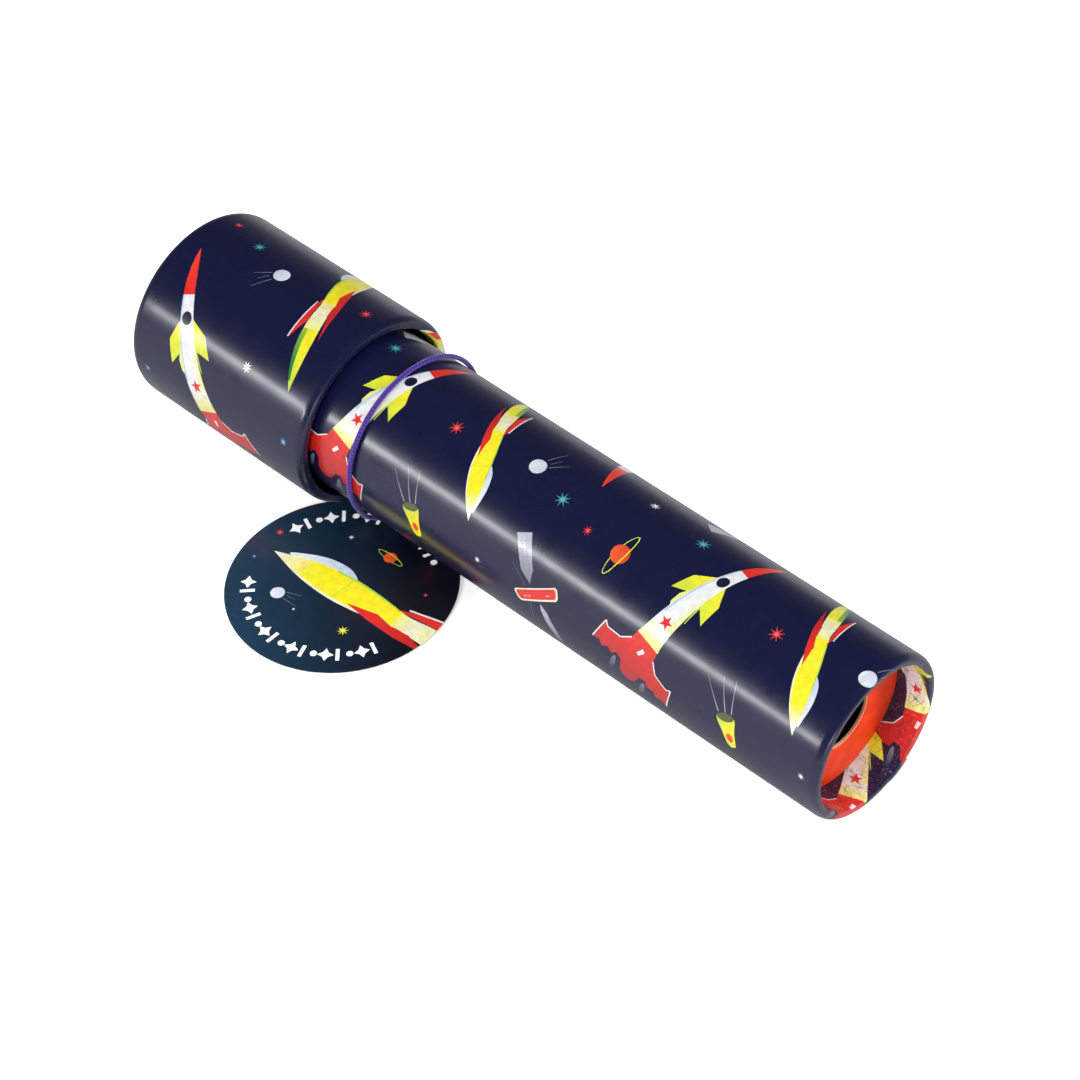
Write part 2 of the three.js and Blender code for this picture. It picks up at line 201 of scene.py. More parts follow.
def rocket():
    """Base at u = 0, nose at u = 35 and tail fins behind the base."""
    tail = [(0.2, 3.0), (-2.2, 3.3), (-4.4, 5.2), (-5.2, 8.6), (-4.4, 9.7), (-9.9, 10.3), (-9.3, 8.7)]
    tail += [(-10.2, 7.4), (-8.9, 6.5), (-9.6, 5.0), (-8.2, 4.2), (-8.8, 2.6), (-11.6, 1.9), (-12.6, 0.8)]
    wing = [(19.6, 1.3), (15.8, 4.7), (10.9, 5.4), (13.2, 1.8)]
    strake = [(14.6, -1.8), (11.4, -3.0), (9.2, -2.9), (8.4, -2.2)]
    shapes = [(both_sides(tail), fade(RED, DEEP_RED, (0, 0), (-12, 0)))]
    for way in (1, -1):
        shapes += [
            (np.array(wing) * (1, way), fade(YELLOW, LIME, (18, 0), (8, 0))),
            (ellipse(-11.8, 4.0 * way, 2.6, 0.6, 14), fade(GREY, NAVY, (-10, 0), (-14.4, 0))),
            (bar((-0.6, 2.2 * way), (-7.6, 3.4 * way), 0.14), DEEP_RED),
        ]
        edge = np.array([(-2.1, 3.3), (-4.3, 5.2), (-5.1, 8.6), (-4.3, 9.7), (-9.9, 10.3)]) * (1, way)
        shapes += [(bar(a, b, 0.26), WHITE) for a, b in zip(edge, edge[1:])]
    shapes += [
        (np.array(strake), PALE_YELLOW),
        (bar((13.0, 2.2), (8.6, 2.8), 0.4, 0.2), LIME),
        (hull_part(ROCKET, 0, 5), fade(PALE_YELLOW, WHITE, (1, 0), (5, 0))),
        (hull_part(ROCKET, 5, 24.4), WHITE),
        (hull_part(ROCKET, 5, 20, 0.45, 1.0), fade(PALE_YELLOW, WHITE, (4, 0), (19, 0))),
        (hull_part(ROCKET, 7, 24.4, -1.0, -0.74), PALE_BLUE),
        (hull_part(ROCKET, 24.4, 35), fade(RED, ink(236, 62, 40), (25, 0), (35, 0))),
        (ellipse(19.6, 0, 1.4, 1.2), DARK),
        (star(5.8, 0, 1.6, 5, 0.42), RED),
        (bar((-2.2, 0.5), (-3.9, -0.2), 0.9, 0.7), WHITE),
    ]
    return shapes


def ship():
    """Tail at u = 0, nose at u = 39, canopy and green shading on the v < 0 side."""
    canopy = [(37, -0.8), (35, -2.1), (32.4, -3.05), (30, -3.3), (28.2, -3.0), (27, -2.0), (31, -1.2)]
    blade = [(25.6, 1.5), (21.6, 2.2), (17, 2.6), (9.8, 2.4), (14.2, 1.7), (15.6, 1.2), (18.4, 1.3)]
    blade.append((21, 0.7))
    thin_blade = [(19.6, -1.3), (16.0, -2.5), (9.6, -3.5), (13.4, -1.6)]
    return [
        (smooth(canopy, 6), fade(WHITE, PALE_BLUE, (36, 0), (28, 0))),
        (hull_part(SHIP, 0, 13.5), fade(LIME, YELLOW, (0, 0), (9, 0))),
        (hull_part(SHIP, 2, 15, -1.0, -0.35), fade(GREEN, LIME, (6, 0), (15, 0))),
        (hull_part(SHIP, 12, 16), fade(PALE_YELLOW, CREAM, (12, 0), (16, 0))),
        (hull_part(SHIP, 15.5, 19.5), fade(CREAM, YELLOW, (16, 0), (19.5, 0))),
        (hull_part(SHIP, 18.6, 33), fade(YELLOW, ink(242, 226, 30), (33, 0), (20, 0))),
        (hull_part(SHIP, 33, 39), fade(YELLOW, CREAM, (33, 0), (38, 0))),
        (hull_part(SHIP, 19, 38, 0.84, 1.0), CREAM),
        (hull_part(SHIP, 19, 30, -1.0, -0.86), LIME),
        (np.array(blade), fade(RED, DEEP_RED, (22, 2), (12, 3))),
        (np.array(thin_blade), RED),
        (bar((18.2, -2.1), (9.6, -3.7), 0.24), WHITE),
        (bar((27.2, -2.0), (27.8, 1.8), 0.1), LIME),
    ]


def capsule():
    """Tip at u = 0, mouth at u = 7, with three thin streaks ahead of it."""
    cone = [(-0.2, 0.8), (-0.2, -0.9), (3.4, -1.5), (6.6, -2.2), (7.2, 0), (6.6, 2.2), (3.4, 1.7), (1, 1.3)]
    shapes = [(smooth(cone), fade(LIME, YELLOW, (7, -2), (3, 1))), (ellipse(6.7, 0, 0.95, 2.05), OLIVE)]
    shapes += [(ellipse(2.0, 0.1, 1.15, 0.9, 14), ORANGE), (ellipse(1.9, 0.1, 0.55, 0.4, 10), RED)]
    for start, end in (((7.7, -1.6), (14.4, -4.0)), ((7.8, 0.1), (15.0, -0.5)), ((7.7, 1.6), (14.6, 2.5))):
        shapes.append((bar(start, end, 0.2, 0.1), fade(SILVER, GREY, start, end)))
    return shapes


def comet():
    """A pale ball at u = 0 with streaks along +u."""
    return [
        (bar((2.2, -0.9), (6.8, -1.7), 0.18, 0.08), GREY),
        (bar((2.6, 0.3), (5.2, 0.1), 0.14, 0.08), GREY),
        (bar((2.0, 1.2), (6.0, 1.9), 0.2, 0.08), GREY),
        (ellipse(0, 0, 1.85, points=32), fade(BALL_SHADE, BALL_LIGHT, (1.5, 1.5), (-1.5, -1))),
        (smooth([(0.3, 1.7), (1.4, 1.0), (1.6, -0.4), (1.1, 0.6)], 4), PALE_BLUE),
    ]


def planet():
    """A ball with a tilted ring, whose near half crosses the ball."""

    def half_ring(start, end):
        turns = np.linspace(start, end, 20)
        outer = np.column_stack((5.2 * np.cos(turns), 1.2 * np.sin(turns)))
        return np.vstack((outer, outer[::-1] * (0.955, 0.8)))

    ball = (ellipse(0, 0, 2.1, points=30), fade(ink(236, 96, 44), ink(206, 58, 30), (-2, -2), (2, 2)))
    return [(half_ring(math.pi, TAU), LIME), ball, (half_ring(0, math.pi), YELLOW)]


def satellite():
    """A red bar across u = 0 with a pale edge, a broad panel along +u and a narrow one along -u."""
    half = [(1.3, 6.1), (0.7, 6.5), (-1.1, 6.2), (-1.75, 5.6)]
    rim = np.vstack((half, np.array(half)[::-1] * (1, -1)))
    panel = np.array([(2.2, -0.9), (5.6, -2.5), (13.4, -2.6), (13.2, 1.1), (5.2, 0.7)])
    tail = np.array([(-2.3, 0.3), (-4.6, 1.3), (-9.5, 1.2), (-14.5, -0.4), (-8.0, -0.7), (-4.0, -0.4)])
    shapes = [(panel, fade(GREY, SILVER, (2, 0), (13, 0))), (tail, fade(SILVER, GREY, (-3, 0), (-14, 0)))]
    shapes += [(bar((u, -2.2), (u, 0.7), 0.09), GREY) for u in (6.5, 8.2, 9.9, 11.6)]
    shapes += [(bar((5.2, v), (13.1, v), 0.09), GREY) for v in (-1.5, -0.3)]
    shapes += [(rim, CREAM), (rim * (0.76, 0.93), RED), (bar((0.5, -4.6), (0.5, 4.6), 0.12), DEEP_RED)]
    shapes += [(bar((-0.5, v), (-0.5, v + 0.8), 0.16), CREAM) for v in (-4.0, -2.8, 3.0)]
    whiskers = [((2.0, -2.4), (7.4, -4.6), 0.06), ((-2, -2.6), (-6, -4.6), 0.12)]
    return shapes + [(bar(start, end, 0.12, tip), GREY) for start, end, tip in whiskers]


def spark(color, radius):
    """A small eight-pointed star with a slightly paler middle."""
    middle = tuple(0.75 * c + 0.12 for c in color)
    return lambda: [(star(0, 0, radius, 8, 0.3), color), (star(0, 0, radius * 0.34, 8, 0.6), middle)]


TEAL_STAR, RED_STAR, BLUE_STAR = spark(TEAL, 1.75), spark(RED, 1.75), spark(BLUE, 1.3)
SMALL_RED_STAR, WHITE_STAR, YELLOW_STAR = spark(RED, 1.2), spark(WHITE, 1.15), spark(YELLOW, 1.5)

# ---- Layouts: (motif, l, w, heading in degrees, scale), in mm. The last two can be left out ----
BODY_REPEAT = 85.5
BODY_PRINT = [
    (rocket, 60, 20, -71),
    (ship, 84.5, -17.5, 72),
    (capsule, 83.7, 31, -109),
    (comet, 103, 2, -58),
    (satellite, 117, 25.4, -121, 0.95),
    (planet, 130.7, 8.2, -80),
    (TEAL_STAR, 56.5, -4),
    (RED_STAR, 82.6, 4.6, 10),
    (TEAL_STAR, 112.7, 5.2),
    (SMALL_RED_STAR, 121.7, 7.8),
    (WHITE_STAR, 100.8, 26.6, 0, 0.75),
    (WHITE_STAR, 127.6, -6),
    (rocket, 107.5, -36, 75),
    (rocket, 108, 54, 60),
    (satellite, 60.5, -21.5, 129),
    (ship, 92, -23, -108, 0.95),
    (comet, 57, 47, 40),
    (planet, 77, 47, 20),
    (capsule, 130, 48, 150),
    (BLUE_STAR, 93, 44),
    (RED_STAR, 68, -50),
    (TEAL_STAR, 130, -30),
    (WHITE_STAR, 66, 40),
]
HEAD_PRINT = [
    (rocket, 24, 37.3, -118.7, 1.08),
    (ship, 45.8, 20, -106, 1.2),
    (comet, 25.6, -1, 130),
    (TEAL_STAR, 15, -4.5, 0, 0.9),
    (SMALL_RED_STAR, 5.8, -7),
    (RED_STAR, 47.4, -4.6, 0, 0.9),
    (WHITE_STAR, 33.5, 20.4, 0, 1.2),
    (BLUE_STAR, 47.8, 31, 0, 0.9),
    (BLUE_STAR, 5, 36, 0, 0.8),
    (ship, 49, -46, 74),
    (rocket, 20, -52, 66),
    (satellite, 13, -31, 160, 0.9),
    (planet, 43, 58, 30),
    (capsule, 12, 58, -40),
    (comet, 38, -64, 200),
    (TEAL_STAR, 28, 60),
    (RED_STAR, 44, -54),
    (WHITE_STAR, 10, -58),
    (WHITE_STAR, 40, 46),
]
TAG_PRINT = [
    (ship, 47.2, 2.75, 184.6, 1.68),
    (comet, -8.7, -10.5, 12, 0.85),
    (planet, 2.5, 12, -2, 0.7),
    (YELLOW_STAR, 9.7, -9.2, 0, 0.9),
    (SMALL_RED_STAR, -21.2, 2.1, 0, 0.9),
    (WHITE_STAR, -8.2, 10.9, 0, 0.6),
    (WHITE_STAR, -2.7, -11.6, 0, 0.4),
    (BLUE_STAR, -20.3, -6.4, 0, 0.4),
    (SMALL_RED_STAR, 15.9, 9.1, 0, 0.5),
]


def place(motif, l, w, heading=0, scale=1.0):
    """The motif's shapes moved to their place on a sheet, as (outline, paint in sheet coordinates)."""
    a = math.radians(heading)
    turn = np.array([[math.cos(a), -math.sin(a)], [math.sin(a), math.cos(a)]])
    placed = []
    for outline, paint in motif():
        if callable(paint):
            paint = moved_paint(paint, turn, l, w, scale)
        placed.append((outline @ turn.T * scale + (l, w), paint))
    return placed


def moved_paint(paint, turn, l, w, scale):
    def at(x, y):
        u, v = (np.array([x - l, y - w]) @ turn) / scale
        return paint(u, v)

    return at


# ---- Cutting a sheet along its print ----
def signed_area(outline):
    x, y = np.array(outline, float).T
    return (x @ np.roll(y, -1) - y @ np.roll(x, -1)) / 2


def cut_sheet(corners, l_lines, w_lines, shapes, ground):
    """Cuts the sheet along a grid and every outline. Returns its points, its triangles and a color for
    each triangle's corners. The sheet is the area inside the corners outline, less every shape whose paint
    is None."""
    points, edges, faces = [], [], []
    for i, l in enumerate(l_lines):
        for k, w in enumerate(w_lines):
            points.append(Vector((l, w)))
            here = i * len(w_lines) + k
            if k + 1 < len(w_lines):
                edges.append((here, here + 1))
            if i + 1 < len(l_lines):
                edges.append((here, here + len(w_lines)))
    for outline in [corners] + [s[0] for s in shapes]:
        around = outline if signed_area(outline) > 0 else outline[::-1]
        faces.append(list(range(len(points), len(points) + len(around))))
        points += [Vector(p) for p in around]
    out = delaunay_2d_cdt(points, edges, faces, 0, 1e-4, True)
    flat = np.array([tuple(p) for p in out[0]], float)
    kept, colors = [], []
    for face, inside in zip(out[2], out[5]):
        paint = shapes[max(inside) - 1][1] if inside and max(inside) else ground
        if 0 not in inside or paint is None:
            continue
        kept.append(face)
        colors.append([paint(*flat[i]) if callable(paint) else paint for i in face])
    used, tris = np.unique(np.array(kept), return_inverse=True)
    return flat[used], tris.reshape(-1, 3), np.array(colors, float)


def closed_sheet(name, flat, tris, colors, surface, thickness, flip, extras):
    """A solid sheet: the printed face, the plain face behind it and the cut edge between them."""
    face, normals = surface(flat)
    back = face - normals * thickness * MM
    count = len(face)
    front = tris[:, ::-1] if flip else tris
    rear = front[:, ::-1] + count
    pairs = {}
    for a, b in np.vstack((front[:, :2], front[:, 1:], front[:, ::2][:, ::-1])):
        pairs[(a, b)] = True
    rim = np.array([(a, b) for a, b in pairs if (b, a) not in pairs])
    edge = np.column_stack((rim[:, 1], rim[:, 0], rim[:, 0] + count, rim[:, 1] + count))
    mesh = bpy.data.meshes.new(name)
    points = np.vstack((face, back))
    mesh.from_pydata(points.tolist(), [], front.tolist() + rear.tolist() + edge.tolist())
    paper = (0.62, 0.6, 0.55)
    shown = colors[:, ::-1] if flip else colors
    corner_colors = np.ones((len(mesh.loops), 4))
    corner_colors[: 3 * len(front), :3] = shown.reshape(-1, 3)
    corner_colors[3 * len(front) :, :3] = paper
    layer = mesh.color_attributes.new("print", "FLOAT_COLOR", "CORNER")
    layer.data.foreach_set("color", corner_colors.ravel().astype(np.float32))
    uv = mesh.uv_layers.new(name="sheet")
    vertex = np.zeros(len(mesh.loops), np.int32)
    mesh.loops.foreach_get("vertex_index", vertex)
    uv.data.foreach_set("uv", flat[vertex % count].ravel().astype(np.float32))
    for label, values in extras.items():
        mesh.attributes.new(label, "FLOAT", "POINT").data.foreach_set(
            "value", np.tile(values, 2).astype(np.float32)
        )
    mesh.shade_smooth()
    across = np.cross(points[edge[:, 1]] - points[edge[:, 0]], points[edge[:, 3]] - points[edge[:, 0]])
    across /= norm(across, axis=1)[:, None]
    behind = -normals[rear.ravel() - count]
    corner_normals = np.vstack((normals[front.ravel()], behind, np.repeat(across, 4, 0)))
    mesh.normals_split_custom_set(corner_normals.tolist())
    return new_object(name, mesh)


def new_object(name, data):
    made = bpy.data.objects.new(name, data)
    bpy.context.scene.collection.objects.link(made)
    return made


# ---- Wrapping a sheet round a tube ----
def rim_points(end, way, outer, bore, steps=16):
    """(s, r) points over a rolled rim, from outside to bore. way is +1 at a far end and -1 at s = 0."""
    turns = np.linspace(0, math.pi / 2, steps)
    outside = np.column_stack((
        end - way * RIM_AXIAL * (1 - np.sin(turns)), outer - RIM_OUTER * (1 - np.cos(turns))
    ))
    inside = np.column_stack((
        end - way * RIM_INNER * (1 - np.cos(turns)), bore + RIM_INNER * (1 - np.sin(turns))
    ))
    return np.vstack((outside, inside))


class Profile:
    """A tube's outline in (s, r), read by the distance l along the paper. l equals s on the outside."""

    def __init__(self, points, outside_index):
        self.points = points
        steps = norm(np.diff(points, axis=0), axis=1)
        lengths = np.concatenate(([0], np.cumsum(steps)))
        self.lengths = lengths - lengths[outside_index] + points[outside_index, 0]
        tangents = np.gradient(points, self.lengths, axis=0)
        self.normals = np.column_stack((-tangents[:, 1], tangents[:, 0]))

    def at(self, l):
        s, r = (np.interp(l, self.lengths, self.points[:, k]) for k in (0, 1))
        ns, nr = (np.interp(l, self.lengths, self.normals[:, k]) for k in (0, 1))
        size = np.hypot(ns, nr)
        return s, r, ns / size, nr / size


def wrapped(profile, radius, height):
    """A surface that carries sheet points onto the tube, raised by height(l, w) mm."""

    def at(l, w):
        s, r, ns, nr = profile.at(l)
        h = height(l, w)
        return on_tube(s + ns * h, w / radius, r + nr * h)

    def surface(flat):
        l, w = flat[:, 0], flat[:, 1]
        step = 0.03
        along = at(l + step, w) - at(l - step, w)
        around = at(l, w + step) - at(l, w - step)
        normals = np.cross(around, along)
        return at(l, w), normals / norm(normals, axis=1)[:, None]

    return surface


def smoothstep(x, low, high):
    t = np.clip((x - low) / (high - low), 0, 1)
    return t * t * (3 - 2 * t)


SEAM_OVERLAP = 5.0
BODY_SEAM, HEAD_SEAM = -160, -150  # degrees round from the top


def seam_lift(w, seam_end):
    """The sheet's last few mm ride up over its first few, where the paper is glued to itself."""
    return SEAM_LIFT * smoothstep(w, seam_end - SEAM_OVERLAP - 1.6, seam_end - SEAM_OVERLAP)


RIDGE_LIMITS = ((0, TAU), (0.03, 0.085), (0.1, 0.3))  # place and width in radians, height in mm
PLEATS = 26


def pleats(seed, radius):
    """Small ridges pinched up where the paper is folded into a narrower bore."""
    draw = random.Random(seed)
    ridges = [[draw.uniform(*limits) for limits in RIDGE_LIMITS] for _ in range(PLEATS)]

    def height(w):
        phi = w / radius
        total = np.zeros_like(phi)
        for middle, width, tall in ridges:
            gap = (phi - middle + math.pi) % TAU - math.pi
            total = np.maximum(total, tall * np.exp(-((gap / width) ** 2)))
        return total + 0.03 * np.sin(5 * phi + 1.0) + 0.03 * np.sin(11 * phi)

    return height


def lines_between(stops):
    """Grid places along l: (start, end, greatest step) for each stretch."""
    places = []
    for start, end, step in stops:
        places += list(np.linspace(start, end, max(2, math.ceil((end - start) / step) + 1))[:-1])
    return places + [stops[-1][1]]


def printed_wrap(name, node, profile, radius, layout, repeat, seam_start, fold, seed):
    """Cuts a print, wraps it round a tube and stands it in for the CAD's plain paper."""
    first, last = profile.lengths[0], profile.lengths[-1]
    around = TAU * radius
    seam_end = seam_start + around + SEAM_OVERLAP
    shapes = []
    for motif, l, w, *pose in layout:
        for along in range(-2, 3) if repeat else (0,):
            for turn in (-1, 0, 1):
                x, y = l + along * (repeat or 0), w + turn * around
                if first - 45 < x < last + 45 and seam_start - 45 < y < seam_end + 45:
                    shapes += place(motif, x, y, *pose)
    corners = [(first, seam_start), (last, seam_start), (last, seam_end), (first, seam_end)]
    w_lines = np.linspace(seam_start, seam_end, 150)
    flat, tris, colors = cut_sheet(corners, lines_between(fold["stops"]), w_lines, shapes, NAVY)

    ridges = pleats(seed, radius)

    def height(l, w):
        deep = smoothstep(l, fold["bore"], fold["bore"] + 1.5) * (1 - smoothstep(l, *fold["calm"]))
        return seam_lift(w, seam_end) + ridges(w) * deep

    surface = wrapped(profile, radius, height)
    creased = smoothstep(flat[:, 0], fold["rim"] + 1.2, fold["bore"] + 0.8)
    rolled = smoothstep(flat[:, 0], fold["rim"] - 0.4, fold["rim"] + 1.4) - creased
    if fold["far_rim"]:
        rolled = rolled + 1 - smoothstep(flat[:, 0], RIM_AXIAL - 1.8, RIM_AXIAL)
    extras = {"creased": creased, "rolled": np.clip(rolled, 0, 1)}
    piece = closed_sheet(name, flat, tris, colors, surface, PAPER, True, extras)
    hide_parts(node)
    return piece


PLAIN_STEP, RIM_STEP, FOLD_STEP = 3.6, 0.22, 0.45  # the paper's grid along the tube, in mm


def body_paper():
    rim = rim_points(BODY_END, 1, BODY_R, BODY_BORE)
    fold_end = (BODY_END - BODY_FOLD, BODY_BORE)
    profile = Profile(np.vstack(((BODY_START, BODY_R), rim[:1] - (1.0, 0), rim, fold_end)), 0)
    bore = profile.lengths[-2]
    rim_start = BODY_END - RIM_AXIAL
    stops = [(BODY_START, rim_start, PLAIN_STEP), (rim_start, bore, RIM_STEP), (bore, bore + 8, FOLD_STEP)]
    stops.append((bore + 8, profile.lengths[-1], 2))
    calm = (bore + 4.5, bore + 6.3)
    fold = {"rim": rim_start, "bore": bore, "calm": calm, "stops": stops, "far_rim": False}
    seam = math.radians(BODY_SEAM) * BODY_R
    print_rows = (BODY_PRINT, BODY_REPEAT)
    return printed_wrap("body_paper", "body_wrap", profile, BODY_R, *print_rows, seam, fold, seed=4)


def head_paper():
    far, near = rim_points(0, -1, HEAD_R, HEAD_BORE)[::-1], rim_points(HEAD_END, 1, HEAD_R, HEAD_BORE)
    fold_end = (HEAD_END - HEAD_FOLD, HEAD_BORE)
    points = np.vstack((far, far[-1:] + (1.0, 0), near[:1] - (1.0, 0), near, fold_end))
    profile = Profile(points, len(far) - 1)
    bore = profile.lengths[-2]
    rim_start = HEAD_END - RIM_AXIAL
    stops = [(profile.lengths[0], RIM_AXIAL, RIM_STEP), (RIM_AXIAL, rim_start, PLAIN_STEP)]
    stops += [(rim_start, bore, RIM_STEP), (bore, profile.lengths[-1], FOLD_STEP)]
    calm = (bore + 4.5, bore + 6.0)
    fold = {"rim": rim_start, "bore": bore, "calm": calm, "stops": stops, "far_rim": True}
    seam = math.radians(HEAD_SEAM) * HEAD_R
    return printed_wrap("head_paper", "head_wrap", profile, HEAD_R, HEAD_PRINT, None, seam, fold, seed=9)


# ---- Turned pieces ----
def rounded_section(s0, s1, r0, r1, round_by, steps=4):
    """A rectangle in (s, r) with rounded corners, going round once."""
    round_by = min(round_by, (s1 - s0) / 2.2, (r1 - r0) / 2.2)
    turns = np.linspace(0, math.pi / 2, steps + 1)
    corners = ((s1, r1, 1, 1), (s0, r1, -1, 1), (s0, r0, -1, -1), (s1, r0, 1, -1))
    points = []
    for index, (s, r, ways, wayr) in enumerate(corners):
        for t in turns if index % 2 == 0 else turns[::-1]:
            in_s, in_r = round_by * (1 - math.cos(t)), round_by * (1 - math.sin(t))
            points.append((s - ways * in_s, r - wayr * in_r))
    return points


def turned_piece(name, section, segments=160):
    """Turns a closed (s, r) section about the tube's axis. Points with r = 0 lie on the axis."""
    section = np.array(section, float)
    turns = np.linspace(0, TAU, segments, endpoint=False)
    bm = bmesh.new()
    rings = []
    for s, r in section:
        if r < 1e-6:
            rings.append([bm.verts.new(on_tube(s, 0.0, 0.0))] * segments)
        else:
            rings.append([bm.verts.new(p) for p in on_tube(s, turns, r)])
    for ring, following in zip(rings, rings[1:] + rings[:1]):
        for k in range(segments):
            j = (k + 1) % segments
            corners = list(dict.fromkeys((ring[k], ring[j], following[j], following[k])))
            if len(corners) > 2:
                bm.faces.new(corners)
    bmesh.ops.recalc_face_normals(bm, faces=bm.faces)
    return finish_mesh(name, bm)


def finish_mesh(name, bm, sharp=35):
    mesh = bpy.data.meshes.new(name)
    bm.to_mesh(mesh)
    bm.free()
    mesh.shade_smooth()
    mesh.set_sharp_from_angle(angle=math.radians(sharp))
    piece = new_object(name, mesh)
    piece.modifiers.new("even_shading", "WEIGHTED_NORMAL").keep_sharp = True
    return piece


def disc_section(s0, s1, radius, round_by):
    section = rounded_section(s0, s1, radius - 1, radius, round_by)
    edge = [p for p in section if p[1] >= radius - round_by - 1e-6]
    return edge + [(s0, 0.0), (s1, 0.0)]


def fine_ring(node, name, round_by=0.12):
    """A finely turned, soft-edged copy of a turned CAD ring or disc."""
    s0, s1, r0, r1 = span(node)
    section = disc_section(s0, s1, r1, round_by) if r0 < 0.01 else rounded_section(s0, s1, r0, r1, round_by)
    piece = turned_piece(name, section)
    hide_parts(node)
    return piece


def board_tube(node, name, outer, bore, far_rim):
    """The board under a printed paper: its outline is the paper's, moved in by the paper and the glue."""
    inset = PAPER + 0.05
    start, end = span(node)[:2]
    near = rim_points(end + inset, 1, outer, bore)
    far = np.array([(start, bore), (start, outer)])
    if far_rim:
        far = rim_points(start - inset, -1, outer, bore)[::-1]
    line = np.vstack((far, near))
    steps = np.gradient(line, axis=0)
    steps /= norm(steps, axis=1)[:, None]
    inward = np.column_stack((steps[:, 1], -steps[:, 0]))
    section = line + inset * inward
    if not far_rim:
        section[:2] = (start, bore + inset), (start, outer - inset)
    piece = turned_piece(name, section)
    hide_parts(node)
    return piece


def eyepiece_card():
    """The orange disc: its peephole was punched from the front, so the hole's lip is turned slightly in."""
    s0, s1, r0, r1 = span("eyepiece_disc")
    section = [(s0, r1), (s1 - 0.05, r1), (s1, r1 - 0.05), (s1, r0 + 0.8)]
    turns = np.linspace(0, math.pi / 2, 6)
    section += [(s1 - 0.2 * math.sin(t) ** 2, r0 + 0.8 * (1 - math.sin(t))) for t in turns[1:]]
    section += [(s0 + 0.05, r0), (s0, r0 + 0.05)]
    piece = turned_piece("eyepiece_card", section, 200)
    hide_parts("eyepiece_disc")
    return piece


# ---- Cord ----
CORD_S = float((np.array(JOINTS["cord_turn"]["pos_m"]) - ORIGIN) @ AXIS / MM)
CORD_R = 0.53
HOLE = np.array(JOINTS["tag_swing"]["pos_m"], float)


def cord_path():
    """The cord's middle line: round the tube, down through the tag's hole and back under its edge."""
    lay = BODY_R + 1.1 * CORD_R + SEAM_LIFT  # clear of the lapped seam however far it turns
    rel = (HOLE - ORIGIN) / MM
    hole_y, hole_z = rel @ SIDE, rel @ UP
    floor = -(ORIGIN[2] / MM + CORD_S * AXIS[2]) / UP[2]
    low = floor + CORD_R + 0.05
    turns = np.radians(np.arange(-168, 119, 13))
    across = np.column_stack((-lay * np.sin(turns), lay * np.cos(turns), 0 * turns))
    dip = [(hole_y - 9.6, hole_z + 7.4, -0.8), (hole_y - 6.2, hole_z + 4.4, -0.7)]
    dip += [(hole_y - 1.9, hole_z + 1.4, -0.2), (hole_y, hole_z, 0.0), (hole_y + 1.7, low + 0.1, 0.0)]
    dip += [(hole_y + 2.8, low + 0.05, 0.0), (hole_y + 4.2, low + 0.75, 0.0)]
    dip.append((hole_y + 5.7, low + 1.7, 0.0))
    curve = smooth(np.vstack((across, dip)), 24)
    return ORIGIN + MM * ((CORD_S + curve[:, 2:]) * AXIS + curve[:, :1] * SIDE + curve[:, 1:2] * UP)


def swept(bm, path, radius_at, sides, closed):
    """Sweeps a circle along a path. radius_at(i, turn) gives the skin's distance from the path, which each
    point also keeps as "weave", as a share of the cord's radius."""
    weave = bm.verts.layers.float.get("weave") or bm.verts.layers.float.new("weave")
    count = len(path)
    tangents = np.roll(path, -1, 0) - np.roll(path, 1, 0)
    if not closed:
        tangents[0], tangents[-1] = path[1] - path[0], path[-1] - path[-2]
    tangents /= norm(tangents, axis=1)[:, None]
    side = np.cross(tangents[0], (0.3, 0.2, 0.9))
    rings = []
    for i in range(count):
        side = side - tangents[i] * (side @ tangents[i])
        side /= norm(side)
        other = np.cross(tangents[i], side)
        ring = []
        for k in range(sides):
            a = TAU * k / sides
            radius = radius_at(i, a)
            out = radius * MM * (math.cos(a) * side + math.sin(a) * other)
            ring.append(bm.verts.new(path[i] + out))
            ring[-1][weave] = radius / CORD_R
        rings.append(ring)
    last = count if closed else count - 1
    shift = 0
    if closed:
        gaps = [(rings[-1][0].co - rings[0][k].co).length for k in range(sides)]
        shift = gaps.index(min(gaps))
    for i in range(last):
        following = rings[(i + 1) % count]
        offset = shift if i == count - 1 else 0
        for k in range(sides):
            j = (k + 1) % sides
            next_j, next_k = following[(j + offset) % sides], following[(k + offset) % sides]
            bm.faces.new((rings[i][k], rings[i][j], next_j, next_k))
    if not closed:
        bm.faces.new(rings[0][::-1])
        bm.faces.new(rings[-1])


def even_path(path, step, closed=True):
    """The path with its points a constant step apart."""
    ring = np.vstack((path, path[:1])) if closed else path
    lengths = np.concatenate(([0], np.cumsum(norm(np.diff(ring, axis=0), axis=1))))
    count = max(8, round(lengths[-1] / step))
    places = np.linspace(0, lengths[-1], count, endpoint=not closed)
    return np.column_stack([np.interp(places, lengths, ring[:, k]) for k in range(3)])


def braid(pitch, step, strands=3):
    """Surface of a round braid: two families of strands cross over and under."""

    def radius(i, turn):
        run = TAU * i * step / pitch
        return CORD_R * (1 + 0.09 * math.cos(strands * turn + run) * math.cos(strands * turn - run))

    return radius


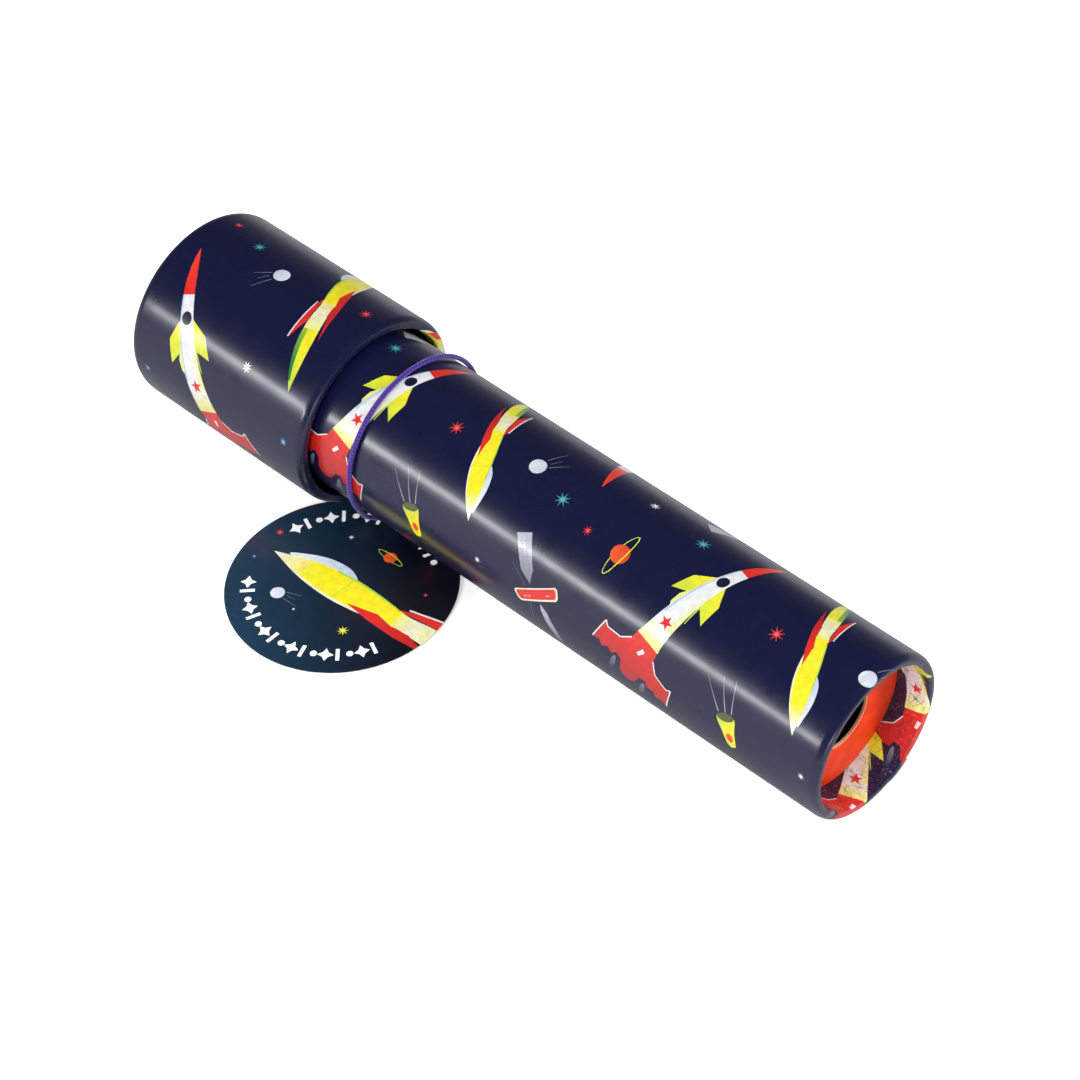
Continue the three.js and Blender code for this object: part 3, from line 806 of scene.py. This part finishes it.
def elastic_cord():
    bm = bmesh.new()
    step = 0.11
    path = even_path(cord_path(), step * MM)
    swept(bm, path, braid(1.7, step), 20, True)
    knot_phi = math.radians(-100)
    middle = on_tube(CORD_S, knot_phi, BODY_R + 1.35)
    out = UP * math.cos(knot_phi) - SIDE * math.sin(knot_phi)
    round_way = -UP * math.sin(knot_phi) - SIDE * math.cos(knot_phi)
    turns = np.linspace(0, TAU, 90, endpoint=False)
    trefoil = np.array([
        middle + MM * 0.42 * (
            (math.sin(t) + 2 * math.sin(2 * t)) * round_way
            + (math.cos(t) - 2 * math.cos(2 * t)) * AXIS
            - 1.1 * math.sin(3 * t) * out
        )
        for t in turns
    ])
    swept(bm, even_path(trefoil, step * MM), braid(1.7, step), 20, True)
    for way in (1, -1):
        ends = [(0, 0, 0), (0.9 * way, 0.7, 0.2), (1.9 * way, 1.8, -0.35), (2.9 * way, 3.3, -0.95)]
        tail = np.array([middle + MM * (a * AXIS + b * round_way + c * out) for a, b, c in ends])
        tail = even_path(smooth(tail, 12, closed=False), step * MM, closed=False)
        swept(bm, tail, braid(1.7, step), 20, False)
    bmesh.ops.recalc_face_normals(bm, faces=bm.faces)
    piece = finish_mesh("elastic_cord", bm, 60)
    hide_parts("cord_loop")
    return piece


# ---- Tag ----
def tag_plane():
    """The tag's centre, its radius in mm, its own x, y and upward directions and its thickness in mm."""
    points = node_points("swing_tag")
    centre = (points.min(0) + points.max(0)) / 2
    normal = np.linalg.svd(points - centre)[2][2]
    normal *= np.sign(normal[2])
    x = np.cross(SIDE, normal)
    x /= norm(x)
    height = (points - centre) @ normal
    flat = points - centre - np.outer(height, normal)
    radius = norm(flat, axis=1).max() / MM
    return centre, radius, x, np.cross(normal, x), normal, np.ptp(height) / MM


def ornament(radius, start, end, count):
    """A row of small marks set on an arc: bars, dots and diamonds in turn, with no letters among them."""
    shapes = []
    for i, degrees in enumerate(np.linspace(start, end, count)):
        a = math.radians(degrees)
        out = np.array([math.cos(a), math.sin(a)])
        middle = radius * out
        if i % 3 == 0:
            shapes.append((star(*middle, 1.75, 4, 0.5, a), TAG_WHITE))
        elif i % 3 == 1:
            shapes.append((bar(middle - 1.6 * out, middle + 1.6 * out, 0.8), TAG_WHITE))
        else:
            shapes.append((ellipse(*middle, 0.75, points=16), TAG_WHITE))
    return shapes


def round_tag():
    centre, radius, x, y, normal, thickness = tag_plane()
    rel = HOLE - centre
    hole = (rel @ x / MM, rel @ y / MM)
    shapes = ornament(20, 165, 58, 15) + ornament(20, 218, 335, 17)
    for motif_and_place in TAG_PRINT:
        shapes += place(*motif_and_place)
    hole_radius = 1.3
    punched = ellipse(*hole, hole_radius, points=48)
    outline = ellipse(0, 0, radius, points=160)
    grid = np.linspace(-radius, radius, 26)
    ground = fade(TAG_BLUE, TAG_BLACK, (-14, -15), (12, 8))
    flat, tris, colors = cut_sheet(outline, grid, grid, shapes + [(punched, None)], ground)

    from_middle = norm(flat, axis=1)
    edge_round = 0.06 * smoothstep(from_middle, radius - 0.35, radius)

    def surface(points):
        lift = thickness / 2 - edge_round
        face = centre + MM * (points[:, :1] * x + points[:, 1:] * y + lift[:, None] * normal)
        return face, np.tile(normal, (len(points), 1))

    rolled = smoothstep(from_middle, radius - 0.5, radius)
    extras = {"creased": np.zeros(len(flat)), "rolled": rolled}
    depth = (thickness - 2 * edge_round)[:, None]
    piece = closed_sheet("round_tag", flat, tris, colors, surface, depth, False, extras)
    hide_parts("swing_tag")
    return piece


# ---- Materials ----
class Nodes:
    """A node tree. A value may be a number, a colour or a node's output."""

    def __init__(self, tree):
        self.tree = tree

    def add(self, kind, *inputs, **settings):
        node = self.tree.nodes.new("ShaderNode" + kind)
        for key, value in settings.items():
            setattr(node, key, value)
        for key, value in inputs:
            self.feed(node.inputs[key], value)
        return node

    def feed(self, socket, value):
        if isinstance(value, bpy.types.NodeSocket):
            self.tree.links.new(value, socket)
        elif socket.type == "RGBA" and len(value) == 3:
            socket.default_value = (*value, 1.0)
        else:
            socket.default_value = value

    def ramp(self, value, low, high, start=0.0, end=1.0, kind="SMOOTHSTEP"):
        """Runs from start to end as the value goes from low to high."""
        limits = (("From Min", low), ("From Max", high), ("To Min", start), ("To Max", end))
        return self.add("MapRange", ("Value", value), *limits, interpolation_type=kind).outputs["Result"]


class Look(Nodes):
    """A material's node tree, with sizes in mm."""

    def __init__(self, name, **inputs):
        self.material = bpy.data.materials.new(name)
        self.material.use_nodes = True
        super().__init__(self.material.node_tree)
        self.shader = self.tree.nodes["Principled BSDF"]
        self.where = self.add("TexCoord").outputs["Object"]
        self.set(**inputs)

    def set(self, **inputs):
        for key, value in inputs.items():
            self.feed(self.shader.inputs[key.replace("_", " ").title().replace("Ior", "IOR")], value)

    def attribute(self, name, output="Fac"):
        return self.add("Attribute", attribute_name=name).outputs[output]

    def noise(self, size, detail=3.0, rough=0.55, stretch=(1, 1, 1)):
        place = self.add("VectorMath", (0, self.where), (1, stretch), operation="MULTIPLY").outputs[0]
        kind = (("Scale", 1000 / size), ("Detail", detail), ("Roughness", rough))
        return self.add("TexNoise", ("Vector", place), *kind).outputs["Fac"]

    def cloud(self, size, detail, start=0.0, end=1.0):
        """A cloudy value between start and end."""
        return self.ramp(self.noise(size, detail), 0.3, 0.7, start, end)

    def math(self, operation, a, b, clamp=False):
        return self.add("Math", (0, a), (1, b), operation=operation, use_clamp=clamp).outputs[0]

    def product(self, first, *others):
        for other in others:
            first = self.math("MULTIPLY", first, other)
        return first

    def mix(self, share, first, second):
        node = self.add("Mix", ("Factor", share), (6, first), (7, second), data_type="RGBA")
        return node.outputs[2]

    def shade(self, color, value):
        """The colour, multiplied by a value."""
        return self.add("VectorMath", (0, color), ("Scale", value), operation="SCALE").outputs[0]

    def bump(self, *layers):
        """Lays bumps on one another, from (height, depth in mm) layers. Returns the finished material."""
        normal = None
        for height, depth in layers:
            node = self.add("Bump", ("Height", height), ("Distance", depth * MM), ("Strength", 1.0))
            if normal:
                self.feed(node.inputs["Normal"], normal)
            normal = node.outputs["Normal"]
        self.feed(self.shader.inputs["Normal"], normal)
        return self.material


def printed_look(name, sheen_lift=0.0, gain=1.0):
    """Laminated print: ink on paper, with cracks and flakes where it was folded and rubbed where it rolls
    over. Where folded it is also brightened as painted light, and its cracks are darkened as painted shade.
    """
    look = Look(name, coat_weight=0.5, coat_roughness=0.17, specular_ior_level=0.5)
    print_color = look.attribute("print", "Color")
    mottle = look.cloud(1.4, 5, 0.9 * gain, 1.06 * gain)
    grain = look.cloud(0.22, 2, 0.96, 1.04)
    inked = look.shade(look.shade(print_color, mottle), grain)

    drift = look.add("TexNoise", ("Vector", look.where), ("Scale", 1100.0), ("Detail", 3.0))
    shift = (0, drift.outputs["Color"]), (1, (0.5 * MM,) * 3), (2, look.where)
    wander = look.add("VectorMath", *shift, operation="MULTIPLY_ADD")

    def cracks(size, width):
        cells = look.add("TexVoronoi", ("Vector", wander.outputs[0]), ("Scale", 1000 / size),
                         feature="DISTANCE_TO_EDGE")
        return look.ramp(cells.outputs["Distance"], 0.0, width, 1.0, 0.0)

    creased = look.attribute("creased")
    # Painted light: the paper folded down the bores is brightened by up to a quarter, standing in for light
    # that the lamps don't bring into the mouth.
    inked = look.shade(inked, look.ramp(creased, 0.0, 1.0, 1.0, 1.25))
    patch = look.ramp(look.noise(3.5, 2), 0.5, 0.64, 0.0, 0.8)
    lines = look.math("MAXIMUM", cracks(1.5, 0.05), look.product(cracks(0.6, 0.07), patch))
    worn = look.ramp(look.noise(2.6, 2), 0.4, 0.62, 0.25, 1.0)
    # Painted shade: along the crack lines the colour is darkened towards near black, standing in for the
    # shade inside the creases.
    painted_crack_shade = look.product(lines, creased, worn)
    specks = look.ramp(look.noise(0.42, 4, 0.6), 0.58, 0.66, 0.0, 0.5)
    flaked = look.product(specks, creased, worn)
    rubbed = look.product(look.attribute("rolled"), look.ramp(look.noise(0.4, 4), 0.64, 0.76, 0.0, 0.16))
    scuffed = look.mix(look.math("MAXIMUM", flaked, rubbed), inked, (0.5, 0.48, 0.46))
    look.set(base_color=look.mix(look.product(painted_crack_shade, 0.85), scuffed, (0.03, 0.025, 0.035)))

    rough = look.cloud(5, 3, 0.27 + sheen_lift, 0.34 + sheen_lift)
    look.set(roughness=look.math("ADD", rough, look.product(creased, 0.12), True))
    return look.bump(
        (look.noise(9, 2), 0.05),
        (look.noise(0.35, 3), 0.004),
        (look.product(lines, creased), -0.05),
        (look.product(look.noise(1.6, 3), creased), 0.16),
    )


def board_look():
    """Grey-brown board: short pressed fibres and the faint edges of its spiral winding."""
    look = Look("spiral_board", specular_ior_level=0.3)
    fibre = look.noise(0.5, 5, 0.7, (0.35, 1, 1))
    tone = look.mix(look.ramp(fibre, 0.3, 0.7), ink(126, 106, 80), ink(168, 146, 116))
    winding = (("Vector", look.where), ("Scale", 14.0), ("Distortion", 1.2), ("Detail", 1.0))
    wave = look.add("TexWave", *winding, bands_direction="DIAGONAL")
    seam = look.ramp(wave.outputs["Fac"], 0.0, 0.04, 0.7, 1.0)
    look.set(base_color=look.shade(tone, seam), roughness=look.ramp(fibre, 0.3, 0.7, 0.78, 0.92))
    return look.bump((fibre, 0.05), (seam, 0.04))


def card_look(name, color, dark, rough=0.55, bump=0.02):
    """Flat card with a solid ink: a cloudy tone, fine fibres and an almost matt face."""
    look = Look(name, specular_ior_level=0.4)
    cloud = look.cloud(4, 4)
    fibre = look.noise(0.28, 4, 0.65)
    tone = look.mix(cloud, color, dark)
    look.set(base_color=look.shade(tone, look.ramp(fibre, 0.25, 0.75, 0.92, 1.08)))
    look.set(roughness=look.ramp(fibre, 0.3, 0.7, rough - 0.05, rough + 0.08))
    return look.bump((fibre, bump), (look.noise(6, 2), 0.03))


def clear_look():
    look = Look("clear_sheet", base_color=(0.93, 0.96, 0.97), ior=1.04, transmission_weight=1.0)
    smear = look.noise(7, 4, 0.6, (1, 1, 2.5))
    look.set(roughness=look.ramp(smear, 0.35, 0.7, 0.02, 0.09))
    return look.bump((look.noise(12, 1), 0.02))


def frosted_look():
    look = Look("frosted_sheet", ior=1.49, transmission_weight=0.42)
    frost = look.noise(0.18, 4, 0.7)
    cloud = look.cloud(6, 3, 0.96, 1.02)
    look.set(base_color=look.shade(look.mix(frost, (0.8, 0.82, 0.83), (0.9, 0.91, 0.92)), cloud))
    look.set(roughness=look.ramp(frost, 0.3, 0.7, 0.42, 0.55))
    return look.bump((frost, 0.012))


def mirror_look():
    look = Look("silvered_strip", metallic=1.0)
    wipe = look.noise(3, 4, 0.6, (0.1, 1, 1))
    look.set(base_color=look.mix(look.ramp(wipe, 0.35, 0.7), (0.72, 0.75, 0.76), (0.8, 0.82, 0.83)))
    look.set(roughness=look.ramp(wipe, 0.4, 0.75, 0.03, 0.09))
    return look.bump((look.noise(20, 1), 0.01))


def tape_look():
    look = Look("paper_tape", specular_ior_level=0.45)
    weave = look.noise(0.4, 4, 0.7, (1, 0.2, 0.2))
    look.set(base_color=look.mix(weave, ink(44, 44, 50), ink(66, 66, 74)))
    look.set(roughness=look.ramp(weave, 0.3, 0.7, 0.5, 0.7))
    return look.bump((weave, 0.04))


def cord_look():
    """Covered elastic: the strands shine a little, and the gaps between them are darkened with painted
    shade.
    """
    look = Look("braided_elastic", sheen_weight=0.35, sheen_roughness=0.4, specular_ior_level=0.5)
    # Painted shade: the colour runs from dark purple in the dips between strands to the lighter purple on
    # their crests.
    strand = look.ramp(look.attribute("weave"), 0.93, 1.05)
    thread = look.noise(0.09, 3, 0.7)
    tone = look.mix(strand, ink(30, 14, 72), ink(80, 42, 160))
    look.set(base_color=look.shade(tone, look.ramp(thread, 0.25, 0.75, 0.86, 1.14)))
    look.set(roughness=look.ramp(thread, 0.3, 0.7, 0.42, 0.58))
    return look.bump((thread, 0.03))


def bead_look(name, color):
    """Clear-tinted moulded plastic with flow marks and a few fine scuffs."""
    look = Look(name, ior=1.5, transmission_weight=0.35, coat_weight=0.2, coat_roughness=0.05)
    flow = look.noise(1.6, 3, 0.5, (1, 2.2, 1))
    look.set(base_color=look.shade(color, look.ramp(flow, 0.3, 0.7, 0.85, 1.12)))
    look.set(roughness=look.ramp(look.noise(0.5, 5, 0.7), 0.45, 0.8, 0.07, 0.3))
    return look.bump((flow, 0.02))


def floor_look():
    look = Look("studio_floor", specular_ior_level=0.2)
    soft = look.noise(60, 2)
    pale = look.mix(soft, (0.88, 0.88, 0.885), (0.91, 0.91, 0.91))
    rays = look.add("LightPath")
    in_gloss, in_view = rays.outputs["Is Glossy Ray"], rays.outputs["Is Camera Ray"]
    look.set(base_color=look.mix(in_gloss, pale, (0.42, 0.42, 0.44)), roughness=0.75)
    look.set(emission_color=(1, 1, 1), emission_strength=look.ramp(in_view, 0, 1, 0.0, 0.5))
    return look.bump((look.noise(0.8, 3), 0.01))


# ---- Dressing ----
def soften(node, edge=0.15, levels=0):
    """Rounds a CAD node's edges, and smooths it by subdivision if levels is above zero."""
    piece = frame["nodes"][node]
    weld = piece.modifiers.new("joined_corners", "WELD")
    weld.merge_threshold = 1e-6
    if levels:
        smooth_by = piece.modifiers.new("smooth_form", "SUBSURF")
        smooth_by.levels = smooth_by.render_levels = levels
    elif edge:
        bevel = piece.modifiers.new("soft_edges", "BEVEL")
        bevel.width, bevel.segments = edge * MM, 3
        bevel.limit_method, bevel.angle_limit = "ANGLE", math.radians(35)
        piece.modifiers.new("even_shading", "WEIGHTED_NORMAL")
    return piece


def tint_where(piece, material, chosen):
    """Gives the material to every face whose middle, as (s, r) in mm, is chosen."""
    piece.data.materials.append(material)
    for face in piece.data.polygons:
        rel = (np.array(face.center) - ORIGIN) / MM
        s = rel @ AXIS
        if chosen(s, norm(rel - s * AXIS)):
            face.material_index = len(piece.data.materials) - 1


def dress(piece, material, slot=None, body=None):
    piece.data.materials.clear()
    piece.data.materials.append(material)
    if body:
        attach(piece, body)


print_look = printed_look("laminated_print", gain=0.78)
for paper, body in ((body_paper(), "body"), (head_paper(), "head")):
    dress(paper, print_look, "printed_paper", body)
dress(round_tag(), printed_look("printed_card", 0.05, 1.2), "tag_card", "tag")
dress(elastic_cord(), cord_look(), "elastic_cord", "cord")

BOARD = board_look()
# Black card, also laid inside the body tube as painted shade so the view through the peephole stays dark.
BLACK_CARD_AND_PAINTED_SHADE = card_look("black_card", ink(12, 12, 14), ink(20, 20, 23), 0.7)
ORANGE_CARD = card_look("orange_card", ink(232, 62, 15), ink(216, 50, 12), 0.5)
CLEAR, FROSTED = clear_look(), frosted_look()
TURNED = [
    # Painted shade: the eyepiece ring is given black card so the peephole looks dark.
    ("eyepiece_ring", "black_card", BLACK_CARD_AND_PAINTED_SHADE, "body"),
    ("retaining_collar", "board", BOARD, "body"),
    ("head_liner", "board", BOARD, "head"),
    ("head_bearing", "black_card", BLACK_CARD_AND_PAINTED_SHADE, "head"),
    ("end_retainer", "black_card", BLACK_CARD_AND_PAINTED_SHADE, "head"),
    ("eyepiece_window", "clear_plastic", CLEAR, "body"),
    ("inner_window", "clear_plastic", CLEAR, "head"),
    ("end_window", "frosted_plastic", FROSTED, "head"),
    ("chamber_ring", "frosted_plastic", FROSTED, "head"),
]
fine_body_tube = board_tube("body_tube", "fine_body_tube", BODY_R, BODY_BORE, False)
dress(fine_body_tube, BOARD, "board", "body")
# Painted shade: the body tube's bore is given black card, so the inside seen through the peephole stays
# dark.
tint_where(fine_body_tube, BLACK_CARD_AND_PAINTED_SHADE, lambda s, r: r < BODY_BORE + 0.5)
dress(board_tube("head_tube", "fine_head_tube", HEAD_R, HEAD_BORE, True), BOARD, "board", "head")
for node, slot, material, body in TURNED:
    dress(fine_ring(node, "fine_" + node), material, slot, body)
eyepiece = eyepiece_card()
dress(eyepiece, ORANGE_CARD, "orange_card", "body")
hole_edge = span("eyepiece_disc")[2] + 0.1
cut_card = card_look("cut_card", ink(238, 176, 138), ink(226, 150, 112))
tint_where(eyepiece, cut_card, lambda s, r: r < hole_edge)

MIRROR, TAPE = mirror_look(), tape_look()
for node in ("mirror_bottom", "mirror_left", "mirror_right"):
    dress(soften(node, 0.1), MIRROR)
dress(soften("front_cradle", 0.12), BOARD)
# Painted shade: the rear cradle's board is given black card, so it reads dark through the peephole.
dress(soften("rear_cradle", 0.12), BLACK_CARD_AND_PAINTED_SHADE)
for node in ("front_mirror_band", "rear_mirror_band"):
    dress(soften(node, 0.08), TAPE)
dress(soften("front_mask", 0.1), BLACK_CARD_AND_PAINTED_SHADE)

BEADS = {
    "loose_star": (ink(232, 194, 26), 0.25, 0),
    "loose_round_bead": (ink(217, 38, 43), 0, 1),
    "loose_hexagon": (ink(31, 156, 107), 0.25, 0),
    "loose_ring_bead": (ink(43, 112, 209), 0, 1),
    "loose_gem": (ink(214, 59, 153), 0.12, 0),
    "loose_triangle": (ink(240, 122, 31), 0.25, 0),
    "loose_cube": (ink(112, 64, 191), 0.3, 0),
    "loose_crescent": (ink(46, 181, 201), 0.2, 0),
    "loose_tube_bead": (ink(140, 199, 64), 0.15, 0),
}
for node, (color, edge, levels) in BEADS.items():
    dress(soften(node, edge, levels), bead_look(node + "_plastic", color))


# ---- Studio ----
def studio_floor(reach=3.0):
    bm = bmesh.new()
    bmesh.ops.create_grid(bm, x_segments=8, y_segments=8, size=reach)
    floor = new_object("floor", bpy.data.meshes.new("floor"))
    bm.to_mesh(floor.data)
    bm.free()
    floor.location.z = -0.00005
    floor.data.materials.append(floor_look())


def softbox(name, place, aim, width, height, power, seen_in_gloss=True):
    light = bpy.data.lights.new(name, "AREA")
    light.shape, light.size, light.size_y, light.energy = "RECTANGLE", width, height, power
    box = new_object(name, light)
    box.location = place
    box.rotation_euler = (Vector(aim) - Vector(place)).to_track_quat("-Z", "Y").to_euler()
    box.visible_glossy = seen_in_gloss


def studio_sky():
    """A white surround. Glossy surfaces see it as pale near the horizon and dim overhead, and it lights the
    rest of the scene softly."""
    world = bpy.data.worlds.new("studio")
    bpy.context.scene.world = world
    world.use_nodes = True
    sky = Nodes(world.node_tree)
    rays = sky.add("LightPath")
    height = sky.add("SeparateXYZ", (0, sky.add("TexCoord").outputs["Generated"])).outputs["Z"]
    in_gloss = sky.ramp(height, 0.0, 0.5, 0.17, 0.03, "LINEAR")
    unseen = sky.ramp(rays.outputs["Is Glossy Ray"], 0, 1, 0.45, in_gloss)
    back = sky.tree.nodes["Background"]
    sky.feed(back.inputs["Strength"], sky.ramp(rays.outputs["Is Camera Ray"], 0, 1, unseen, 1.0))
    sky.feed(back.inputs["Color"], (1, 1, 1))


AZIMUTH, ELEVATION, ROLL = 46.141, 44.768, -3.927
CAMERA_DISTANCE, CAMERA_SHIFT = 690.66, (4.18, -5.14)  # from the tube's middle, and to the right and up
LENS, SENSOR = 111.25, 36.0


def studio_camera():
    """The camera looks down from the eyepiece end and the tag's side, turned slightly on its own axis."""
    az, el, roll = (math.radians(a) for a in (AZIMUTH, ELEVATION, ROLL))
    back = np.array([math.sin(az) * math.cos(el), -math.cos(az) * math.cos(el), math.sin(el)])
    level = np.array([math.cos(az), math.sin(az), 0.0])
    upward = np.cross(back, level)
    right = math.cos(roll) * level + math.sin(roll) * upward
    up = math.cos(roll) * upward - math.sin(roll) * level
    middle = ORIGIN + AXIS * BODY_END / 2 * MM
    middle[2] = BODY_R * MM
    place = middle + MM * (CAMERA_DISTANCE * back + CAMERA_SHIFT[0] * right + CAMERA_SHIFT[1] * up)
    data = bpy.data.cameras.new("camera")
    data.lens, data.sensor_width, data.clip_start = LENS, SENSOR, 0.01
    camera = new_object("camera", data)
    turn = Matrix([(right[k], up[k], back[k]) for k in range(3)])
    camera.matrix_world = Matrix.Translation(Vector(place)) @ turn.to_4x4()
    bpy.context.scene.camera = camera


studio_floor()
studio_sky()
TUBE_MIDDLE = Vector((0.0, ORIGIN[1], 0.018))
behind_mouth = TUBE_MIDDLE + Vector((0.05, 0, 0))
softbox("long_softbox", TUBE_MIDDLE + Vector((-0.34, -0.66, 0.20)), behind_mouth, 0.42, 0.08, 1.7)
softbox("overhead", (0.1, 0.1, 1.3), (0, 0, 0), 1.6, 1.6, 7.5, seen_in_gloss=False)
softbox("mouth_fill", (0.60, 0.42, 0.44), (0.09, 0.01, 0.02), 0.16, 0.16, 4.2, seen_in_gloss=False)
softbox("wall_light", (0.25, -0.65, 0.45), (0.094, 0.01, 0.015), 0.2, 0.2, 4.5, seen_in_gloss=False)
softbox("rim_light", (0.72, -0.45, 0.12), (0.05, 0.01, 0.03), 0.3, 0.1, 0.7)
studio_camera()
bpy.context.scene.view_settings.view_transform = "Standard"
